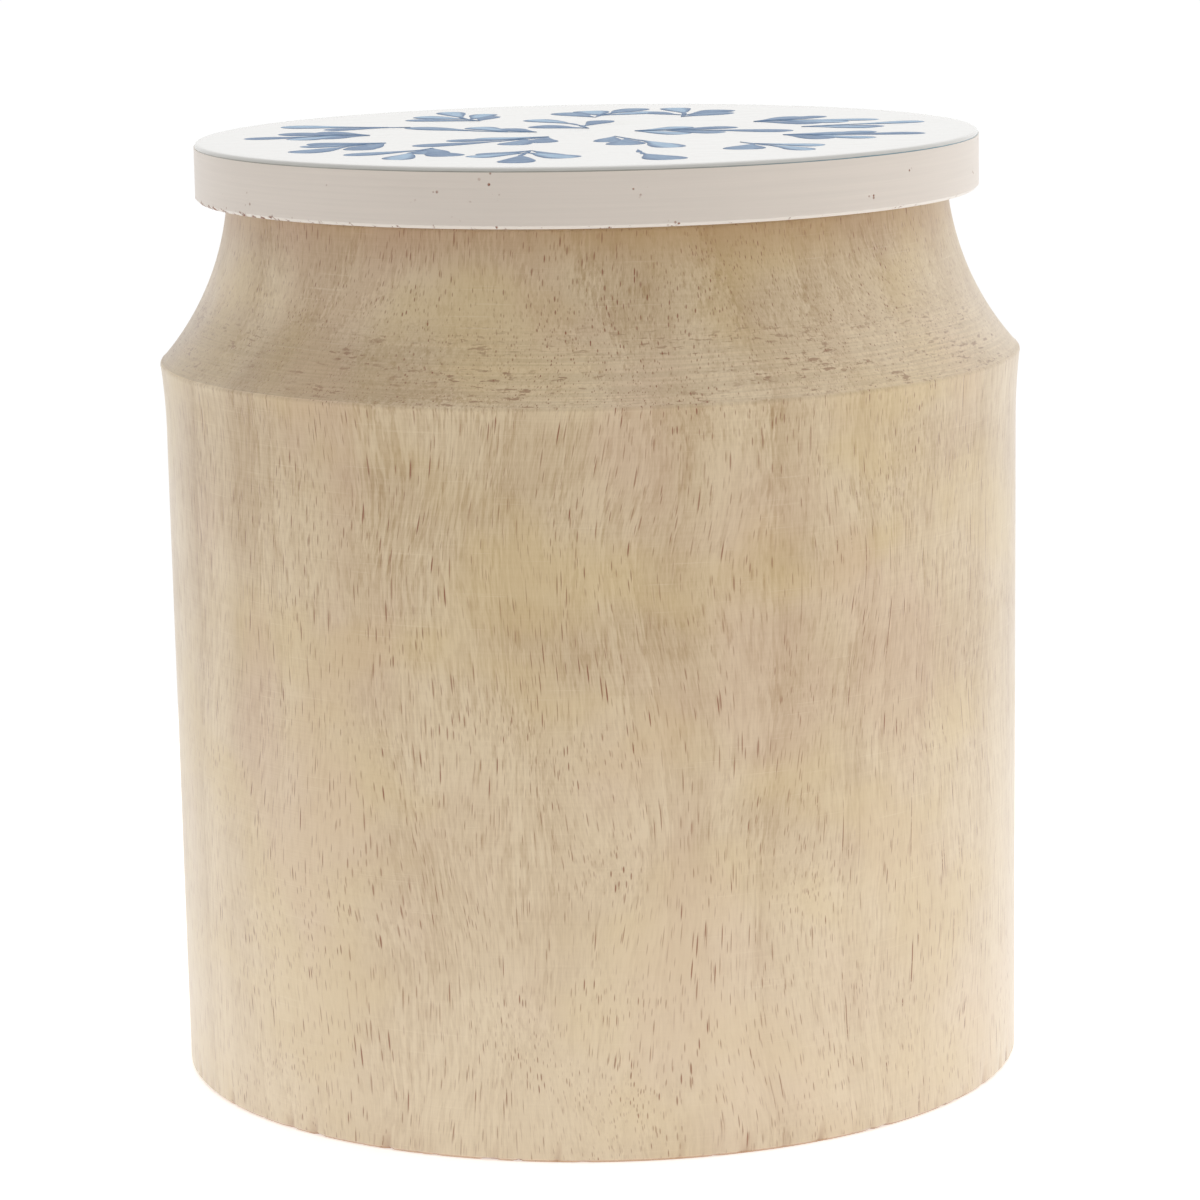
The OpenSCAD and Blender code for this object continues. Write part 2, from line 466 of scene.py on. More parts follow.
def mango_wood(name, light, dark, pore, foot_and_neck=False):
    """Mango wood, turned and sanded, unfinished: cream to tan, with darker figure
    feathered along the fibres, brown pore dashes, and a dry skin."""
    material, tree, place = new_material(name)

    def patches(size, low, high, detail=3.0, vector=place, **more):
        """Soft patches of that size in millimetres: 0 up to low, 1 from high."""
        put = add(tree, "ShaderNodeMapping", {
            "Vector": vector, "Scale": tuple(1 / s for s in size), **more,
        })
        patch = add(tree, "ShaderNodeTexNoise", {
            "Vector": put, "Scale": 1.0, "Detail": detail, "Roughness": 0.55,
        })
        return smoothly(tree, patch, low, high)

    # The grain is interlocked: it leans one way and then the other as it climbs.
    sway = add(tree, "ShaderNodeMapping", {"Vector": place, "Scale": (1 / 28, 1 / 28, 1 / 44)})
    sway = add(tree, "ShaderNodeTexNoise", {"Vector": sway, "Scale": 1.0, "Detail": 1.5})
    sway = vectors(tree, "SUBTRACT", sway.outputs["Color"], (0.5, 0.5, 0.5))
    grain = vectors(tree, "MULTIPLY_ADD", sway, GRAIN_SWAY, place)
    fibre = patches((0.40, 0.40, 5.0), 0.30, 0.70, vector=grain)

    # Growth rings round the pith: flat-cut on one side of the canister, where they
    # spread into blotches, and straight lines on the next. The fibres feather them.
    pith = vectors(tree, "SUBTRACT", grain, PITH)
    pith = vectors(tree, "MULTIPLY", pith, (1.0, 1.0, 0.0))
    ring = vectors(tree, "LENGTH", pith)
    ring = maths(tree, "MULTIPLY_ADD", fibre, 1.8, ring.outputs["Value"])
    band = add(tree, "ShaderNodeTexNoise", {
        "W": ring, "Scale": 1 / 6, "Detail": 5.0, "Roughness": 0.7,
    }, noise_dimensions="1D")
    band = smoothly(tree, band, 0.36, 0.66)
    late = add(tree, "ShaderNodeTexNoise", {
        "W": ring, "Scale": 1 / 7, "Detail": 1.0,
    }, noise_dimensions="1D")
    late = maths(tree, "SUBTRACT", late, 0.5)
    late = maths(tree, "ABSOLUTE", late)
    late = smoothly(tree, late, 0.02, 0.0)

    slant = (0.0, math.radians(-40), 0.0)
    figure = patches((34, 26, 15), 0.40, 0.66, detail=4.0, vector=grain, Rotation=slant)
    smudge = patches((0.7, 0.7, 3.2), 0.52, 0.66, vector=grain)
    thread = patches((0.16, 0.16, 1.8), 0.35, 0.68, detail=1.0, vector=grain)
    rubbed = patches((18, 18, 0.30), 0.30, 0.70, detail=2.0)
    across = add(tree, "ShaderNodeSeparateXYZ", {0: grain})
    straight = smoothly(tree, across.outputs["X"], 14.0, 34.0)

    # Pores: one dash in each cell of the grain, some deep and some grazed. Most
    # are 0.2 mm wide and up to 4 mm long. Where the grain lies along the cut they
    # join into beaded lines, and finer, paler ones are everywhere.
    flat_cut = maths(tree, "MULTIPLY_ADD", straight, -0.65, 1.0)
    crowd = patches((9, 9, 15), 0.30, 0.56)
    beads = patches((3.0, 3.0, 1.0), 0.28, 0.48)
    pores = 0.0
    where = {"flat_cut": (crowd, flat_cut), "beaded": (straight, beads), "fine": (FINE_STRENGTH,)}
    for kind, (pitch, run, wide, faintest) in PORES.items():
        cells = add(tree, "ShaderNodeMapping", {
            "Vector": grain, "Scale": (1 / pitch, 1 / pitch, 1 / run),
        })
        cell = add(tree, "ShaderNodeTexVoronoi", {"Vector": cells, "Scale": 1.0})
        dash = add(tree, "ShaderNodeMapRange", {
            "Value": cell.outputs["Distance"], "From Min": wide, "From Max": wide * 0.55,
        })
        deep = add(tree, "ShaderNodeSeparateColor", {0: cell.outputs["Color"]})
        deep = add(tree, "ShaderNodeMapRange", {"Value": deep, "To Min": faintest})
        for mask in (deep, *where[kind]):
            dash = maths(tree, "MULTIPLY", dash, mask)
        pores = maths(tree, "MAXIMUM", pores, dash)

    # How dark the ground is at each point: each mark has its share.
    tone = -0.16
    for value, share in (
        (figure, 0.26), (band, 0.26), (fibre, 0.26), (smudge, 0.26), (late, 0.20), (rubbed, 0.08),
        (thread, 0.16),
    ):
        tone = maths(tree, "MULTIPLY_ADD", value, share, tone)
    tone = add(tree, "ShaderNodeClamp", {0: tone})
    shown = mixed(tree, tone, light, dark)

    # Tints over the ground, each with its share: honey, rose, the faint bright
    # lines of sanding, and then the pores and the knocked edges.
    honey = patches((24, 24, 17), 0.46, 0.66, detail=2.0)
    rose = patches((21, 21, 30), 0.48, 0.68, detail=2.0, vector=grain)
    sanded = patches((11, 11, 0.22), 0.66, 0.78, detail=1.0, Rotation=(0.0, math.radians(-1.5), 0.0))
    tints = [(honey, 0.46, "d8be89"), (rose, 0.32, "d5b59e"), (sanded, 0.18, "f1e2c6")]
    if foot_and_neck:
        # Painted light makes the wood paler towards the foot, as the bright floor lights it;
        # it is worn brown at its very edge; and painted shade browns the neck under the lid, where its
        # overhang shades it.
        at = add(tree, "ShaderNodeSeparateXYZ", {0: place})
        top = MOUTH_Z / MM
        for low, high, share, tint in (
            (80.0, 0.0, 0.44, "f0e0c8"), (0.5, 0.15, 0.6, "ad7544"), (top - 7, top, 0.34, "9c6d45"),
        ):
            reach = smoothly(tree, at.outputs["Z"], low, high)
            tints.append((reach, share, tint))
        # Where the neck flares to the ridge the tool cut across the grain: fine
        # lines run round it, and rows of torn grain.
        flare = smoothly(tree, at.outputs["Z"], top - FLARE_FROM, top - FLARE_TO)
        above = maths(tree, "GREATER_THAN", at.outputs["Z"], RIDGE_Z + 0.3)
        cut = maths(tree, "MULTIPLY", flare, above)
        lines = patches((20, 20, 0.22), 0.42, 0.60, detail=2.0)
        torn = patches((2.0, 2.0, 0.42), 0.56, 0.63, detail=5.0)
        rows = patches((16, 16, 2.6), 0.44, 0.56, detail=3.0)
        # Painted shade darkens the flare on the left and painted light pales it on the right, as light
        # from the right would.
        sides = [
            smoothly(tree, at.outputs["X"], low, high)
            for low, high in ((-8.0, -42.0), (-18.0, 14.0))
        ]
        for value, mask, share, tint in (
            (sides[0], 1.0, 0.30, "8d7249"), (sides[1], 1.0, 0.26, "f0dcbc"),
            (lines, 1.0, 0.18, "9d845e"), (torn, rows, 0.62, "8a5a34"),
        ):
            value = maths(tree, "MULTIPLY", value, mask)
            value = maths(tree, "MULTIPLY", value, cut)
            tints.append((value, share, tint))
    knocked = add(tree, "ShaderNodeAttribute", {}, attribute_name="chipped").outputs["Fac"]
    tints += [(pores, 0.88, pore), (knocked, 0.7, pore)]
    for value, share, tint in tints:
        amount = maths(tree, "MULTIPLY", value, share)
        tint = hex_colour(tint) if isinstance(tint, str) else tint
        shown = mixed(tree, amount, shown, tint)

    rough = add(tree, "ShaderNodeMapRange", {"Value": fibre, "To Min": 0.54, "To Max": 0.66})
    height = 0.0
    for value, share in ((rubbed, 0.010), (fibre, -0.006), (pores, -0.04)):
        height = maths(tree, "MULTIPLY_ADD", value, share, height)
    bump = add(tree, "ShaderNodeBump", {"Height": height, "Strength": 0.7, "Distance": MM})
    shade(tree, {
        "Base Color": shown, "Roughness": rough, "Normal": bump,
        "Specular IOR Level": 0.5, "Sheen Weight": 0.65, "Sheen Roughness": 0.5,
    })
    return material


def satin_paint(name, paint, bare):
    """Water-based paint, brushed on the turned board: satin, with fine lines
    round it, pin holes, and brown wood showing where the lower edge is worn."""
    material, tree, place = new_material(name)
    at = add(tree, "ShaderNodeSeparateXYZ", {0: place})
    low = BOARD_LOW.z / MM
    brushed = add(tree, "ShaderNodeMapping", {"Vector": place, "Scale": (1 / 30, 1 / 30, 1 / 0.45)})
    brushed = add(tree, "ShaderNodeTexNoise", {
        "Vector": brushed, "Scale": 1.0, "Detail": 3.0, "Roughness": 0.6,
    })
    cloud = add(tree, "ShaderNodeTexNoise", {"Vector": place, "Scale": 1 / 14, "Detail": 3.0})
    tone = add(tree, "ShaderNodeMapRange", {
        "Value": brushed, "From Min": 0.3, "From Max": 0.7, "To Min": 0.97, "To Max": 1.02,
    })
    tone = maths(tree, "MULTIPLY_ADD", cloud, 0.05, tone)
    tone = maths(tree, "SUBTRACT", tone, 0.025)
    ground = add(tree, "ShaderNodeVectorMath", {0: paint[:3], "Scale": tone}, operation="SCALE")

    # Pin holes about 0.3 mm across, in loose clusters.
    cells = add(tree, "ShaderNodeTexVoronoi", {"Vector": place, "Scale": 1 / 0.9, "Randomness": 1.0})
    holes = smoothly(tree, cells.outputs["Distance"], 0.26, 0.12)
    cluster = add(tree, "ShaderNodeTexNoise", {
        "Vector": place, "Scale": 1 / 5, "Detail": 3.0, "Roughness": 0.6,
    })
    cluster = add(tree, "ShaderNodeMapRange", {"Value": cluster, "From Min": 0.62, "From Max": 0.68})
    holes = maths(tree, "MULTIPLY", holes, cluster)

    # Wear at the lower edge: short upright cracks that fade 1.2 mm up and 3 mm in
    # under it, most of them on the side where it is picked up.
    up = smoothly(tree, at.outputs["Z"], low + 1.3, low + 0.1)
    rubs = add(tree, "ShaderNodeMapping", {"Vector": place, "Scale": (1 / 0.8, 1 / 0.8, 1 / 2.2)})
    rubs = add(tree, "ShaderNodeTexNoise", {
        "Vector": rubs, "Scale": 1.0, "Detail": 4.0, "Roughness": 0.7,
    })
    rubs = maths(tree, "MULTIPLY_ADD", up, 0.30, rubs)
    worst = add(tree, "ShaderNodeMapRange", {
        "Value": at.outputs["X"], "From Min": -22.0, "From Max": -46.0, "To Max": 0.13,
    })
    rubs = maths(tree, "ADD", rubs, worst)
    rubs = add(tree, "ShaderNodeMapRange", {"Value": rubs, "From Min": 0.90, "From Max": 1.0})
    outer = vectors(tree, "MULTIPLY", place, (1.0, 1.0, 0.0))
    outer = vectors(tree, "LENGTH", outer)
    outer = smoothly(tree, outer.outputs["Value"], LID_R / MM - 3.5, LID_R / MM - 0.8)
    rubs = maths(tree, "MULTIPLY", rubs, outer)
    chipped = add(tree, "ShaderNodeAttribute", {}, attribute_name="chipped")
    bare_at = maths(tree, "MAXIMUM", rubs, chipped.outputs["Fac"])
    bare_at = maths(tree, "MAXIMUM", bare_at, holes)

    # A painted highlight: a thin white line on the bevel under the side, where it faces the bright floor.
    line = add(tree, "ShaderNodeMapRange", {
        "Value": at.outputs["Z"], "From Min": low + 0.46, "From Max": low + 0.36, "To Max": 0.7,
    })
    ground = mixed(tree, line, ground, hex_colour("fbf6f0"))
    shown = mixed(tree, bare_at, ground, bare)

    rough = add(tree, "ShaderNodeMapRange", {"Value": bare_at, "To Min": 0.42, "To Max": 0.75})
    height = maths(tree, "MULTIPLY", bare_at, -0.12)
    height = maths(tree, "MULTIPLY_ADD", brushed, 0.03, height)
    bump = add(tree, "ShaderNodeBump", {"Height": height, "Strength": 0.7, "Distance": MM})
    shade(tree, {
        "Base Color": shown, "Roughness": rough, "Normal": bump,
        "Sheen Weight": 0.15,
    })
    return material


def poured_enamel(name, ground_colour, rim_left, rim_right, speck):
    """Glossy enamel poured over the board: off-white and slightly wavy, with a
    thin dark line round the rim, olive on the left and blue-green on the right, a few specks of dust, and
    a soft grey spot near the middle."""
    material, tree, place = new_material(name)
    at = add(tree, "ShaderNodeSeparateXYZ", {0: place})
    foot = ENAMEL_LOW.z / MM
    unsteady = add(tree, "ShaderNodeTexNoise", {"Vector": place, "Scale": 1 / 3, "Detail": 3.0})
    reach = maths(tree, "MULTIPLY_ADD", unsteady, 0.12, at.outputs["Z"])
    line = smoothly(tree, reach, foot + 0.25, foot + 0.11)
    side = smoothly(tree, at.outputs["X"], 5.0, 38.0)
    rim = mixed(tree, side, rim_left, rim_right)
    cells = add(tree, "ShaderNodeTexVoronoi", {"Vector": place, "Scale": 1 / 2.6, "Randomness": 1.0})
    dust = smoothly(tree, cells.outputs["Distance"], 0.075, 0.03)
    rare = add(tree, "ShaderNodeSeparateColor", {0: cells.outputs["Color"]})
    rare = maths(tree, "GREATER_THAN", rare, 0.86)
    dust = maths(tree, "MULTIPLY", dust, rare)
    # A soft grey spot near the middle of the lid, fading out 7 mm from its centre.
    grey_spot_centre = (2.0, 16.0, ENAMEL_HIGH.z / MM)
    smudge = vectors(tree, "DISTANCE", place, grey_spot_centre)
    smudge = smoothly(tree, smudge.outputs["Value"], 7.0, 0.0, top=0.4)
    dust = maths(tree, "MAXIMUM", dust, smudge)
    shown = mixed(tree, dust, ground_colour, speck)
    shown = mixed(tree, line, shown, rim)
    ripple = add(tree, "ShaderNodeTexNoise", {"Vector": place, "Scale": 1 / 9, "Detail": 2.0})
    bump = add(tree, "ShaderNodeBump", {"Height": ripple, "Strength": 0.25, "Distance": MM})
    shade(tree, {
        "Base Color": shown, "Roughness": 0.22, "Normal": bump,
        "Coat Weight": 0.3, "Coat Roughness": 0.12,
    })
    return material


def leaf_enamel(name, dark, pale):
    """Translucent blue enamel, laid with a round brush: a thin wash in the
    middle of a stroke, and pigment drawn to its edges and its tail."""
    material, tree, place = new_material(name)
    edge = add(tree, "ShaderNodeAttribute", {}, attribute_name="edge").outputs["Fac"]
    wash = add(tree, "ShaderNodeAttribute", {}, attribute_name="wash").outputs["Fac"]
    pool = add(tree, "ShaderNodeTexNoise", {"Vector": place, "Scale": 1 / 1.1, "Detail": 3.0})
    pulled = add(tree, "ShaderNodeMapRange", {
        "Value": edge, "From Min": 0.35, "From Max": 0.85, "To Min": 1.0, "To Max": 0.0,
    }, interpolation_type="SMOOTHSTEP")
    thin = maths(tree, "MULTIPLY", pulled, wash)
    thin = maths(tree, "MULTIPLY_ADD", pool, 0.7, thin)
    thin = maths(tree, "SUBTRACT", thin, 0.32, use_clamp=True)
    shown = mixed(tree, thin, dark, pale)
    bump = add(tree, "ShaderNodeBump", {"Height": pool, "Strength": 0.2, "Distance": MM})
    shade(tree, {
        "Base Color": shown, "Roughness": 0.45, "Normal": bump,
        "Specular IOR Level": 0.4,
    })
    return material


def milky_silicone(name, milky):
    """Food-grade silicone rubber, moulded: milky, soft to the eye, and faintly
    uneven in tone and roughness all over."""
    material, tree, place = new_material(name)
    dust = add(tree, "ShaderNodeTexNoise", {
        "Vector": place, "Scale": 1 / 1.4, "Detail": 4.0, "Roughness": 0.6,
    })
    tone = add(tree, "ShaderNodeMapRange", {"Value": dust, "To Min": 0.9, "To Max": 1.05})
    shown = add(tree, "ShaderNodeVectorMath", {0: milky[:3], "Scale": tone}, operation="SCALE")
    rough = add(tree, "ShaderNodeMapRange", {"Value": dust, "To Min": 0.38, "To Max": 0.62})
    bump = add(tree, "ShaderNodeBump", {"Height": dust, "Strength": 0.15, "Distance": MM})
    shade(tree, {
        "Base Color": shown, "Roughness": rough, "Normal": bump,
        "Subsurface Weight": 0.35, "Subsurface Radius": (1.0, 1.0, 1.0), "Subsurface Scale": 1.2 * MM,
        "IOR": 1.41,
    })
    return material


def matt_floor(name, pale):
    """Matt white paper: even, with the faintest tooth."""
    material, tree, place = new_material(name)
    tooth = add(tree, "ShaderNodeTexNoise", {"Vector": place, "Scale": 1 / 4, "Detail": 3.0})
    tone = add(tree, "ShaderNodeMapRange", {"Value": tooth, "To Min": 0.99, "To Max": 1.0})
    shown = add(tree, "ShaderNodeVectorMath", {0: pale[:3], "Scale": tone}, operation="SCALE")
    shade(tree, {
        "Base Color": shown, "Roughness": 0.9, "Specular IOR Level": 0.1,
        "Emission Color": pale, "Emission Strength": 0.5,
    })
    return material


# ----------------------------------------------------- geometry: leaf strokes


def leaf_tree():
    """Lays one brush stroke on each point: a closed drop, sharp at its tail and
    round at its tip, bent to one side, half sunk in the enamel. Its attributes
    are edge, from 0 in the middle to 1 round the rim, and wash."""
    tree, given = new_tree("Leaf Strokes", {
        "Points": "Geometry", "Length": "Float", "Width": "Float", "Relief": "Float",
        "Unevenness": "Float", "Seed": "Float", "Material": "Material",
    })
    take = given.outputs
    ball = add(tree, "GeometryNodeMeshUVSphere", {"Segments": 14, "Rings": 14, "Radius": 1.0})
    laid = add(tree, "GeometryNodeTransform", {
        "Geometry": ball.outputs["Mesh"], "Rotation": (0.0, math.pi / 2, 0.0),
    })
    point = add(tree, "ShaderNodeSeparateXYZ", {0: add(tree, "GeometryNodeInputPosition")})
    along = maths(tree, "MULTIPLY_ADD", point.outputs["X"], 0.5, 0.5, use_clamp=True)
    ring = maths(tree, "MULTIPLY", point.outputs["X"], point.outputs["X"])
    ring = maths(tree, "SUBTRACT", 1.0, ring)
    ring = maths(tree, "MAXIMUM", ring, 1e-6)
    ring = maths(tree, "POWER", ring, 0.5)
    across = maths(tree, "DIVIDE", point.outputs["Y"], ring)
    above = maths(tree, "DIVIDE", point.outputs["Z"], ring)

    # Half width: thin at the tail, widest past the middle, round at the tip.
    grown = maths(tree, "POWER", along, 1.35)
    tip = maths(tree, "POWER", along, 2.6)
    tip = maths(tree, "SUBTRACT", 1.0, tip, use_clamp=True)
    tip = maths(tree, "POWER", tip, 0.5)
    half = maths(tree, "MULTIPLY", grown, tip)
    half = maths(tree, "MULTIPLY", half, 0.66)
    sides = []
    for side, *shares in (
        (along, take["Length"]), (half, across, take["Width"]), (tip, above, take["Relief"]),
    ):
        for share in shares:
            side = maths(tree, "MULTIPLY", side, share)
        sides.append(side)
    drop = add(tree, "ShaderNodeCombineXYZ", dict(enumerate(sides)))
    rim = maths(tree, "ABSOLUTE", across)
    tail = add(tree, "ShaderNodeMapRange", {"Value": along, "From Min": 0.5, "From Max": 0.05})
    rim = maths(tree, "MAXIMUM", rim, tail)
    marked = add(tree, "GeometryNodeStoreNamedAttribute", {
        "Geometry": laid, "Name": "edge", "Value": rim,
    }, data_type="FLOAT", domain="POINT")
    shaped = add(tree, "GeometryNodeSetPosition", {"Geometry": marked, "Position": drop})

    own = {}
    for name in STROKE_FACTS:
        fact = add(tree, "GeometryNodeInputNamedAttribute", {"Name": name}, data_type="FLOAT")
        own[name] = fact.outputs["Attribute"]
    turn = add(tree, "ShaderNodeCombineXYZ", {2: own["bearing"]})
    size = add(tree, "ShaderNodeCombineXYZ", {0: own["long"], 1: own["broad"], 2: 1.0})
    points = add(tree, "GeometryNodeMeshToPoints", {"Mesh": take["Points"]})
    leaves = add(tree, "GeometryNodeInstanceOnPoints", {
        "Points": points, "Instance": shaped,
        "Rotation": turn, "Scale": size,
    })
    kept = add(tree, "GeometryNodeStoreNamedAttribute", {
        "Geometry": leaves, "Name": "wash", "Value": own["thin"],
    }, data_type="FLOAT", domain="INSTANCE")
    real = add(tree, "GeometryNodeRealizeInstances", {"Geometry": kept})

    # The whole stroke sways a little, as the hand did, but keeps its height.
    here = add(tree, "GeometryNodeInputPosition")
    sway = add(tree, "ShaderNodeTexNoise", {
        "Vector": here, "W": take["Seed"], "Scale": 1 / (7 * MM), "Detail": 1.0,
    }, noise_dimensions="4D")
    sway = vectors(tree, "SUBTRACT", sway.outputs["Color"], (0.5, 0.5, 0.5))
    sway = vectors(tree, "MULTIPLY", sway, (1.0, 1.0, 0.0))
    sway = add(tree, "ShaderNodeVectorMath", {0: sway, "Scale": take["Unevenness"]}, operation="SCALE")
    swayed = add(tree, "GeometryNodeSetPosition", {"Geometry": real, "Offset": sway})
    smooth = add(tree, "GeometryNodeSetShadeSmooth", {"Geometry": swayed, "Shade Smooth": True})
    end_tree(tree, smooth, take["Material"])
    return tree


def sprig(rows, place, heading, reach, pairs, chance):
    """Adds one sprig's strokes to rows: a stem that bends, leaves in pairs that
    lean out from it, and one leaf at its end. Lengths are in shares of a leaf."""
    bend = chance.uniform(-STEM_BEND, STEM_BEND)
    at = Vector(place)
    for step in range(pairs + 1):
        share = step / max(pairs, 1)
        facing = heading + bend * share
        last = step == pairs
        lean = (0.0,)
        if not last:
            lean = [side + chance.uniform(-LEAN_JITTER, LEAN_JITTER) for side in (LEAF_LEAN, -LEAF_LEAN)]
        for side in lean:
            if not last and chance.random() < LEAF_SKIPPED:
                continue
            rows.append({
                "at": at.copy(),
                "bearing": facing + side,
                "long": (END_LEAF if last else SIDE_LEAF) * chance.uniform(*LEAF_LENGTHS),
                "broad": chance.uniform(*LEAF_WIDTHS),
                "thin": chance.choice(WASHES),
            })
        if not last:
            stem = reach / pairs
            long = stem / STEM_REACH * STEM_OVERLAP
            rows.append({
                "at": at.copy(), "bearing": facing, "long": long, "broad": STEM_WIDTH, "thin": 0.0,
            })
            at += stem * MM * Vector((math.cos(facing), math.sin(facing)))


def leaf_rows(seed):
    """Every stroke on the lid, from the rings of sprigs."""
    chance = random.Random(seed)
    rows = []
    for count, radius, reach, pairs, first in SPRIG_RINGS:
        for i in range(count):
            off = chance.uniform(-BEARING_JITTER, BEARING_JITTER)
            bearing = math.radians(first + 360 * i / count + off)
            r = (radius + chance.uniform(-RADIUS_JITTER, RADIUS_JITTER)) * MM
            heading = bearing + chance.uniform(-HEADING_JITTER, HEADING_JITTER)
            place = (r * math.cos(bearing), r * math.sin(bearing))
            sprig(rows, place, heading, reach, pairs, chance)
    return rows


# ---------------------------------------------------------------- operators


class CANISTER_OT_body(bpy.types.Operator):
    """Turn the canister: foot, side, ridge, hollow neck, mouth and bore"""

    bl_idname = "canister.body"
    bl_label = "Canister body"

    def execute(self, context):
        s = context.scene.canister
        ease, land, fillet = 0.6 * MM, 0.35 * MM, 5 * MM
        flare_curve, ridge_curve, cove_curve = 80 * MM, 0.5 * MM, 36 * MM
        ridge_r = RIDGE_R - RIDGE_ROOM
        top, floor = MOUTH_Z, s.floor_t
        outline = [(0.0, s.hollow_h), (s.hollow_r - 3 * MM, s.hollow_h), (s.hollow_r, 0.0)]
        outline += [(s.foot_r - s.foot_bevel, 0.0), (s.foot_r, s.foot_bevel)]
        outline += [(s.side_r, s.ridge_z - s.flare_h)]
        outline += arc(outline[-1], (ridge_r, s.ridge_z - land), flare_curve, 10)
        outline += arc(outline[-1], (ridge_r - 0.25 * MM, s.ridge_z + land), -ridge_curve, 4)
        outline += arc(outline[-1], (s.neck_r, top - ease), cove_curve, 36)
        outline += arc(outline[-1], (s.neck_r - ease, top), -ease, 5)
        outline += [(s.bore_r + ease, top)]
        outline += arc(outline[-1], (s.bore_r, top - ease), -ease, 5)
        outline += [(s.bore_r, floor + fillet)]
        outline += arc(outline[-1], (s.bore_r - fillet, floor), fillet, 8)
        outline += [(0.0, floor)]
        wood = mango_wood("Mango_sanded", s.wood_light, s.wood_dark, s.wood_pore, foot_and_neck=True)
        piece = turned(
            "canister_wood", filled(outline, 2.5 * MM), wood, s.segments,
            wobble=0.10 * MM, wobble_size=26 * MM,
            chip_height=0.0, chip_band=0.9 * MM, chip_depth=0.7 * MM, chip_size=1.6 * MM,
            chip_rarity=0.55, seed=4.0,
        )
        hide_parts("canister_body")
        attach(piece, "canister")
        return {"FINISHED"}


class CANISTER_OT_lid(bpy.types.Operator):
    """Turn the lid's painted board, its poured enamel and its bare plug"""

    bl_idname = "canister.lid"
    bl_label = "Lid"

    def execute(self, context):
        s, wood = context.scene.canister_lid, context.scene.canister
        low, high = BOARD_LOW.z, BOARD_HIGH.z
        outline = [(0.0, low), (LID_R - s.bevel, low), (LID_R, low + s.bevel)]
        outline += [(LID_R, high), (0.0, high)]
        paint = satin_paint("Satin_paint", s.paint, wood.wood_pore)
        board = turned(
            "lid_painted_board", filled(outline, 0.9 * MM), paint, s.segments,
            wobble=0.05 * MM, wobble_size=14 * MM,
            chip_height=low, chip_band=1.0 * MM, chip_depth=0.45 * MM, chip_size=1.3 * MM,
            chip_rarity=0.72, seed=2.0,
        )
        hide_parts("lid_board")
        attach(board, "lid")

        top = ENAMEL_HIGH.z - s.relief - LEAF_ROOM
        outline = [(0.0, high), (ENAMEL_R, high), (ENAMEL_R, top - s.enamel_round)]
        outline += arc(outline[-1], (ENAMEL_R - s.enamel_round, top), -s.enamel_round, 6)
        outline += [(0.0, top)]
        poured = poured_enamel(
            "Poured_enamel", s.enamel, rim_left=hex_colour("a3a298"), rim_right=hex_colour("6b919e"),
            speck=hex_colour("b9b3a5"),
        )
        enamel = turned(
            "lid_poured_enamel", filled(outline, 2.0 * MM), poured, s.segments,
            wobble=0.05 * MM, wobble_size=9 * MM, seed=6.0,
        )
        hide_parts("lid_enamel")
        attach(enamel, "lid")

        k = context.scene.canister_seal
        groove_h = SEAL_HIGH.z - SEAL_LOW.z + 0.1 * MM
        middle = (PLUG_LOW.z + PLUG_HIGH.z) / 2
        base = PLUG_LOW.z
        outline = [(0.0, base), (PLUG_R - k.plug_ease, base), (PLUG_R, base + k.plug_ease)]
        outline += [(PLUG_R, middle - groove_h / 2), (PLUG_R - k.groove_depth, middle - groove_h / 2)]
        outline += [(PLUG_R - k.groove_depth, middle + groove_h / 2), (PLUG_R, middle + groove_h / 2)]
        outline += [(PLUG_R, PLUG_HIGH.z), (0.0, PLUG_HIGH.z)]
        bare = mango_wood("Mango_plug", wood.wood_light, wood.wood_dark, wood.wood_pore)
        plug = turned("lid_bare_plug", filled(outline, 2.0 * MM), bare, 360, seed=9.0)
        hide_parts("lid_plug")
        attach(plug, "lid")
        return {"FINISHED"}


class CANISTER_OT_leaves(bpy.types.Operator):
    """Paint sprigs of leaves in rings on the enamel"""

    bl_idname = "canister.leaves"
    bl_label = "Painted leaves"

    def execute(self, context):
        s = context.scene.canister_lid
        rows = leaf_rows(s.seed)
        points = bpy.data.meshes.new("leaf_points")
        top = ENAMEL_HIGH.z - s.relief - LEAF_ROOM
        points.from_pydata([(*row["at"], top) for row in rows], [], [])
        for name in STROKE_FACTS:
            fact = points.attributes.new(name, "FLOAT", "POINT")
            fact.data.foreach_set("value", [row[name] for row in rows])
        blue = leaf_enamel("Leaf_enamel", s.leaf_dark, s.leaf_pale)
        leaves = made_mesh("lid_painted_leaves", points, leaf_tree(), {
            "Length": s.leaf_l, "Width": s.leaf_w, "Relief": s.relief, "Unevenness": 1.6 * MM,
            "Seed": float(s.seed), "Material": blue,
        })
        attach(leaves, "lid")
        return {"FINISHED"}


class CANISTER_OT_seal(bpy.types.Operator):
    """Mould the silicone ring with its fins"""

    bl_idname = "canister.seal"
    bl_label = "Seal"

    def execute(self, context):
        s = context.scene.canister_seal
        inside = PLUG_R - s.groove_depth + 0.05 * MM
        web = inside + s.web
        low, high = SEAL_LOW.z, SEAL_HIGH.z
        pitch = (high - low) / s.fins
        gap, fin_r = 0.15 * MM, SEAL_R - FIN_ROOM
        outline = [(inside, high), (inside, low), (web, low)]
        for i in range(s.fins):
            base = low + i * pitch
            tip = base + pitch - gap
            outline += [(web, base + pitch * 0.15), (fin_r, tip - s.fin_tip)]
            outline += arc(outline[-1], (fin_r, tip), -s.fin_tip / 2, 6)
            outline += [(web, base + pitch * 0.85)]
        outline += [(web, high), (inside, high)]
        rubber = milky_silicone("Milky_silicone", s.silicone)
        seal = turned("lid_finned_seal", filled(outline, 1.0 * MM), rubber, 360, seed=3.0)
        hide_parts("lid_seal")
        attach(seal, "seal")
        return {"FINISHED"}


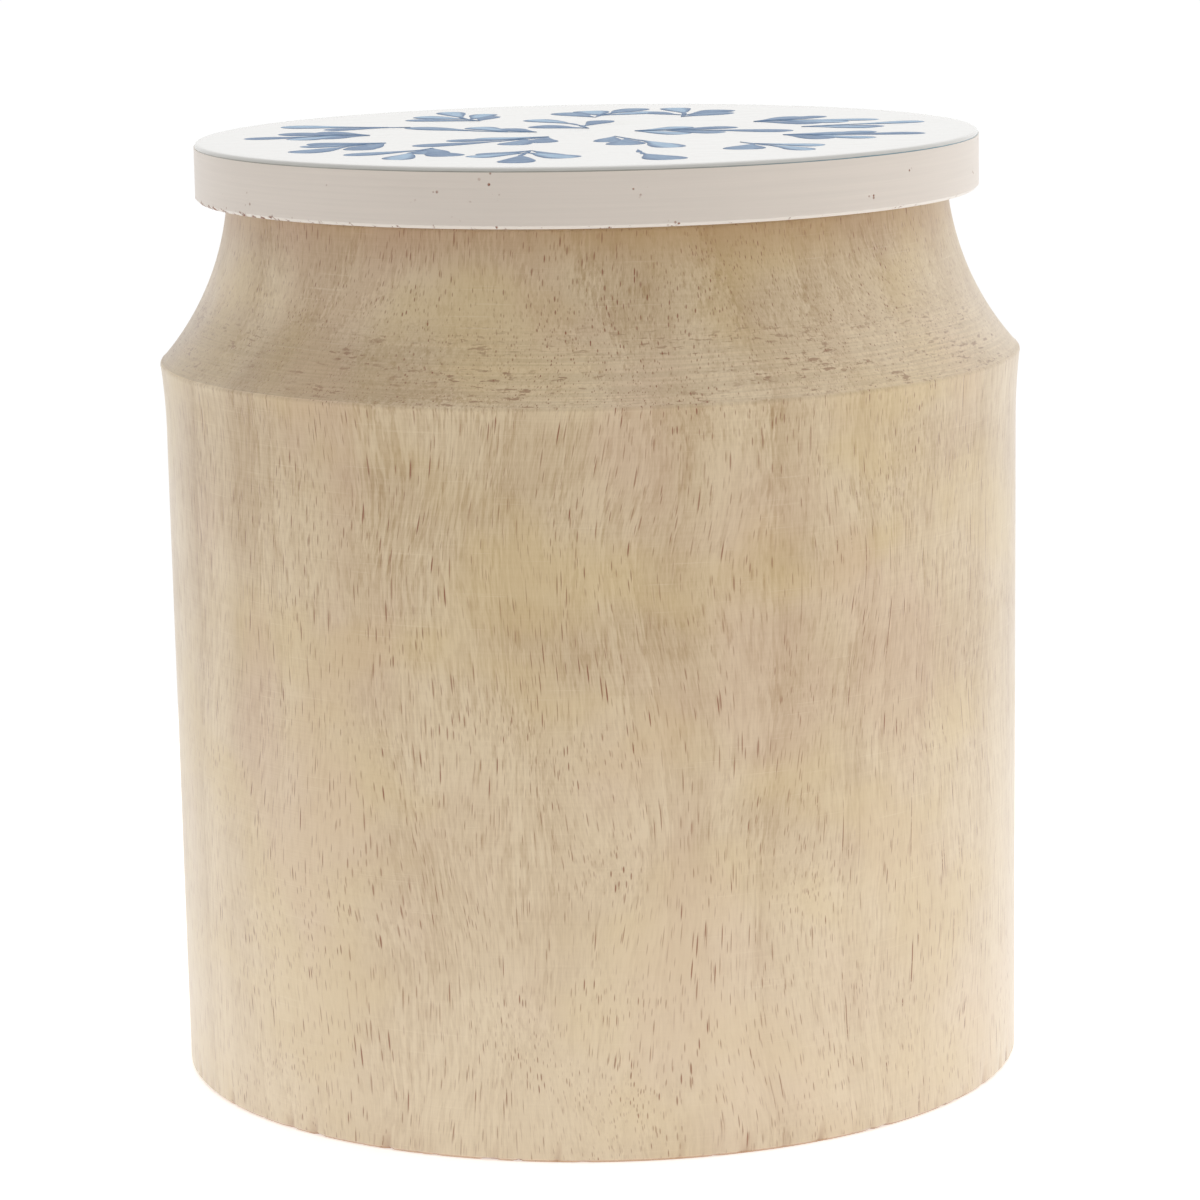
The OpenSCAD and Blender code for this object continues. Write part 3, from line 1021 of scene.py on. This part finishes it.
class CANISTER_OT_stage(bpy.types.Operator):
    """Set the camera, the pale floor and the soft lights"""

    bl_idname = "canister.stage"
    bl_label = "Stage"

    def execute(self, context):
        s, scene = context.scene.canister_stage, context.scene
        scene.view_settings.view_transform = "Standard"
        scene.view_settings.look = "None"

        camera = bpy.data.objects.new("Camera", bpy.data.cameras.new("Camera"))
        scene.collection.objects.link(camera)
        camera.data.lens, camera.data.sensor_width = s.lens, SENSOR_MM
        back = Vector((0.0, -math.cos(s.elevation), math.sin(s.elevation)))
        camera.location = Vector((s.aim_x, 0.0, s.aim_z)) + back * s.distance
        level = (-back).to_track_quat("-Z", "Y")
        camera.rotation_mode = "QUATERNION"
        camera.rotation_quaternion = level @ Quaternion((0.0, 0.0, 1.0), s.roll)
        scene.camera = camera

        bpy.ops.mesh.primitive_circle_add(vertices=128, radius=FLOOR_R, fill_type="NGON")
        floor = context.active_object
        floor.name = "pale_floor"
        floor.data.materials.append(matt_floor("Matt_paper", s.floor))

        world = bpy.data.worlds.new("White_tent")
        scene.world = world
        world.use_nodes = True
        tree = world.node_tree
        tree.nodes.clear()
        seen = add(tree, "ShaderNodeLightPath").outputs["Is Camera Ray"]
        way = add(tree, "ShaderNodeTexCoord").outputs["Generated"]
        slope = vectors(tree, "DOT_PRODUCT", way, TENT_SLOPE)
        inside = maths(tree, "ADD", slope.outputs["Value"], TENT_GLOW)
        strength = add(tree, "ShaderNodeMapRange", {
            "Value": seen, "To Min": inside, "To Max": BACKDROP_GLOW,
        })
        glow = add(tree, "ShaderNodeBackground", {0: (1.0, 1.0, 1.0, 1.0), 1: strength})
        add(tree, "ShaderNodeOutputWorld", {0: glow})

        for name, (azimuth, height, reach, width, tall, watts) in SOFT_LIGHTS.items():
            data = bpy.data.lights.new(name, "AREA")
            data.shape, data.size, data.size_y = "RECTANGLE", width, tall
            data.energy = watts
            light = bpy.data.objects.new(name, data)
            scene.collection.objects.link(light)
            a = math.radians(azimuth)
            light.location = (reach * math.sin(a), -reach * math.cos(a), height)
            aim = Vector(LIT_MIDDLE) - light.location
            light.rotation_euler = aim.to_track_quat("-Z", "Y").to_euler()
        return {"FINISHED"}


# -------------------------------------------------------------------- panel


OPERATORS = (
    CANISTER_OT_stage, CANISTER_OT_body, CANISTER_OT_lid, CANISTER_OT_leaves, CANISTER_OT_seal,
)
SETTINGS = {
    "canister": CanisterSettings,
    "canister_lid": LidSettings,
    "canister_seal": SealSettings,
    "canister_stage": StageSettings,
}


class CANISTER_PT_tools(bpy.types.Panel):
    """Lists the pieces and their settings"""

    bl_label = "Spice Canister"
    bl_idname = "CANISTER_PT_tools"
    bl_space_type = "VIEW_3D"
    bl_region_type = "UI"
    bl_category = "Canister"

    def draw(self, context):
        for operator in OPERATORS:
            self.layout.operator(operator.bl_idname)
        for name, group in SETTINGS.items():
            box = self.layout.box()
            for prop in group.__annotations__:
                box.prop(getattr(context.scene, name), prop)


def register():
    for cls in (*SETTINGS.values(), *OPERATORS, CANISTER_PT_tools):
        bpy.utils.register_class(cls)
    for name, group in SETTINGS.items():
        setattr(bpy.types.Scene, name, PointerProperty(type=group))


def unregister():
    for name in SETTINGS:
        delattr(bpy.types.Scene, name)
    for cls in reversed((*SETTINGS.values(), *OPERATORS, CANISTER_PT_tools)):
        bpy.utils.unregister_class(cls)


def main():
    """Makes the whole scene."""
    register()
    bpy.ops.canister.stage()
    bpy.ops.canister.body()
    bpy.ops.canister.lid()
    bpy.ops.canister.leaves()
    bpy.ops.canister.seal()


if __name__ == "__main__":
    main()
